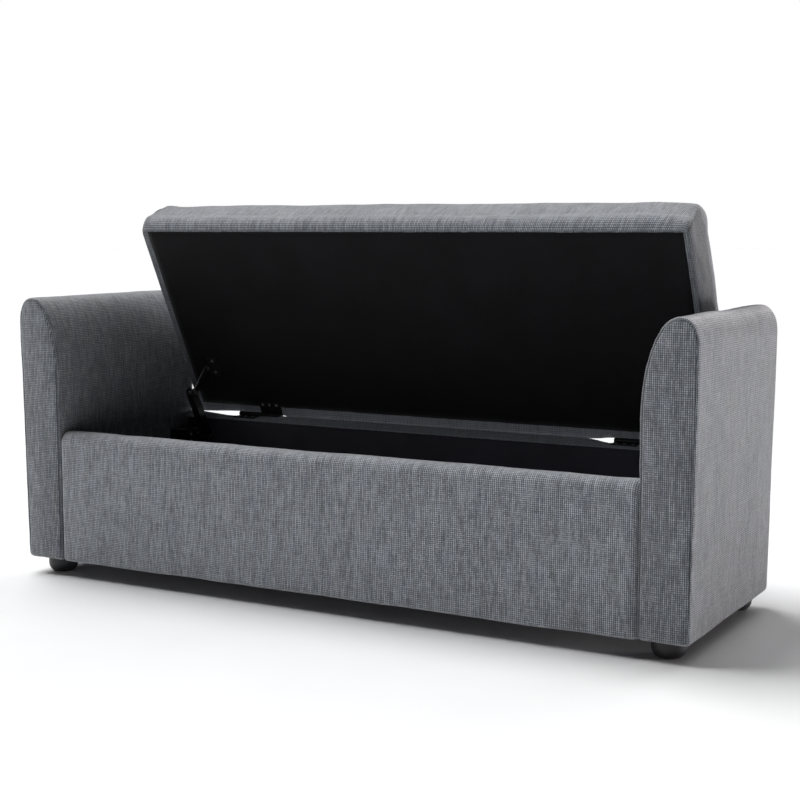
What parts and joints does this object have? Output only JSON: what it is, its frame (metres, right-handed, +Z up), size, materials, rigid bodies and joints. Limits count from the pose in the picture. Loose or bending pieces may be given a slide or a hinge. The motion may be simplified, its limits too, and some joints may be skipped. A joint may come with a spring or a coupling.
{
  "type": "storage bench",
  "caption": "Upholstered storage bench: padded arms with rounded tops, a low fabric box between them and a padded lid on hinges, held open by folding stays.",
  "frame": {"origin": "centre of the bench's footprint, on the floor", "axes": "+X along the bench towards the arm on the right as seen from the front, +Y to the back, +Z up"},
  "size_m": [1.392, 0.5442, 0.7319],
  "materials": {
    "slate_fabric": "matte",
    "black_lining": "matte",
    "foam": "matte",
    "plywood": "matte",
    "black_board": "matte",
    "black_steel": "satin",
    "zinc_steel": "satin",
    "black_plastic": "satin"
  },
  "bodies": {
    "bench": {"left_arm_cover": "slate_fabric", "right_arm_cover": "slate_fabric", "left_arm_padding": "foam", "right_arm_padding": "foam", "left_arm_end_boards": "plywood", "right_arm_end_boards": "plywood", "left_arm_side_boards": "plywood", "right_arm_side_boards": "plywood", "left_arm_rails": "plywood", "right_arm_rails": "plywood", "left_arm_base_board": "plywood", "right_arm_base_board": "plywood", "front_cover": "slate_fabric", "front_padding": "foam", "front_board": "plywood", "front_lining": "black_lining", "rear_cover": "slate_fabric", "rear_board": "plywood", "rear_rail": "plywood", "rear_lining": "black_lining", "floor_board": "plywood", "floor_lining": "black_lining", "floor_bearers": "plywood", "dust_cover": "black_lining", "front_corner_blocks": "black_board", "rear_corner_blocks": "black_board", "arm_bolts": "zinc_steel", "tee_nuts": "zinc_steel", "front_left_foot": "black_plastic", "front_right_foot": "black_plastic", "rear_left_foot": "black_plastic", "rear_right_foot": "black_plastic", "foot_screws": "zinc_steel", "left_hinge_rail_leaf": "black_steel", "right_hinge_rail_leaf": "black_steel", "hinge_pins": "black_steel", "hinge_rail_screws": "zinc_steel", "left_stay_base": "black_steel", "right_stay_base": "black_steel", "stay_base_rivets": "zinc_steel", "stay_base_screws": "zinc_steel"},
    "lid": {"lid_board": "plywood", "lid_foam": "foam", "lid_cover": "slate_fabric", "lid_lining": "black_lining", "left_hinge_lid_leaf": "black_steel", "right_hinge_lid_leaf": "black_steel", "hinge_lid_screws": "zinc_steel", "left_stay_bracket": "black_steel", "right_stay_bracket": "black_steel", "stay_bracket_rivets": "zinc_steel", "stay_bracket_screws": "zinc_steel"},
    "left_stay": {"left_stay_arm": "black_steel", "left_elbow_rivet": "zinc_steel"},
    "left_link": {"left_stay_link": "black_steel"},
    "right_stay": {"right_stay_arm": "black_steel", "right_elbow_rivet": "zinc_steel"},
    "right_link": {"right_stay_link": "black_steel"}
  },
  "joints": [
    {"name": "lid_hinge", "type": "hinge", "parent": "bench", "child": "lid", "pos_m": [0, 0.219, 0.285], "axis": [-1, 0, 0], "range_deg": [-64, 11]},
    {"name": "left_stay_pivot", "type": "hinge", "parent": "bench", "child": "left_stay", "pos_m": [-0.54, 0.178, 0.237], "axis": [-1, 0, 0], "range_deg": [-64, 11]},
    {"name": "left_elbow", "type": "hinge", "parent": "left_stay", "child": "left_link", "pos_m": [-0.53025, 0.1249, 0.33675], "axis": [-1, 0, 0], "range_deg": [-11, 64]},
    {"name": "right_stay_pivot", "type": "hinge", "parent": "bench", "child": "right_stay", "pos_m": [0.54, 0.178, 0.237], "axis": [-1, 0, 0], "range_deg": [-64, 11]},
    {"name": "right_elbow", "type": "hinge", "parent": "right_stay", "child": "right_link", "pos_m": [0.53025, 0.1249, 0.33675], "axis": [-1, 0, 0], "range_deg": [-11, 64]}
  ],
  "couplings": [
    {"joint": "left_stay_pivot", "follows": "lid_hinge", "ratio": 1},
    {"joint": "left_elbow", "follows": "lid_hinge", "ratio": -1},
    {"joint": "right_stay_pivot", "follows": "lid_hinge", "ratio": 1},
    {"joint": "right_elbow", "follows": "lid_hinge", "ratio": -1}
  ]
}
